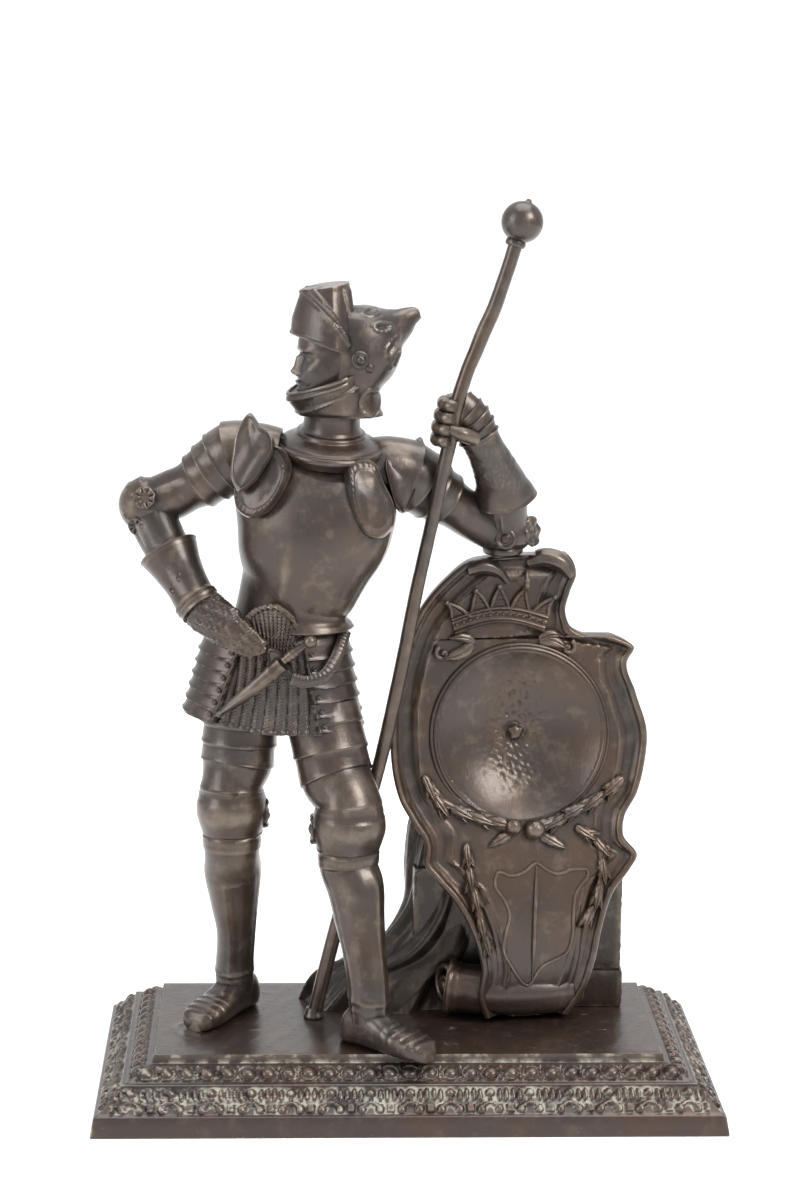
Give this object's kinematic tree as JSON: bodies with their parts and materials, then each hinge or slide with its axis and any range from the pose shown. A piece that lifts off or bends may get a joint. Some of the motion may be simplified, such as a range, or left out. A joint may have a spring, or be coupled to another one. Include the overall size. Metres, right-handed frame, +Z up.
{
  "type": "man-at-arms watch stand",
  "caption": "Patinated bronze man-at-arms in plate armour on a stepped plinth, leaning on a scrolled cartouche with a watch dish.",
  "frame": {"origin": "middle of the underside of the plinth, on the surface that the statue stands on", "axes": "+X to the right of a viewer in front, along the long side of the plinth; +Y away from the viewer; +Z up"},
  "size_m": [0.176, 0.0948, 0.2537],
  "materials": {
    "figure_bronze": "dark brown patinated bronze, satin",
    "plinth_bronze": "dark patinated bronze with pale green deposit in the recesses",
    "cartouche_bronze": "brown patinated bronze, rubbed warmer on raised ornament",
    "staff_bronze": "reddish brown patinated bronze, satin",
    "pier_bronze": "dark patinated bronze, duller",
    "hook_iron": "darkened metal pin"
  },
  "bodies": {
    "root": {"plinth": "plinth_bronze", "man_at_arms": "figure_bronze", "staff": "staff_bronze", "ball_finial": "staff_bronze", "cartouche": "cartouche_bronze", "draped_pier": "pier_bronze", "watch_hook": "hook_iron"}
  },
  "joints": []
}
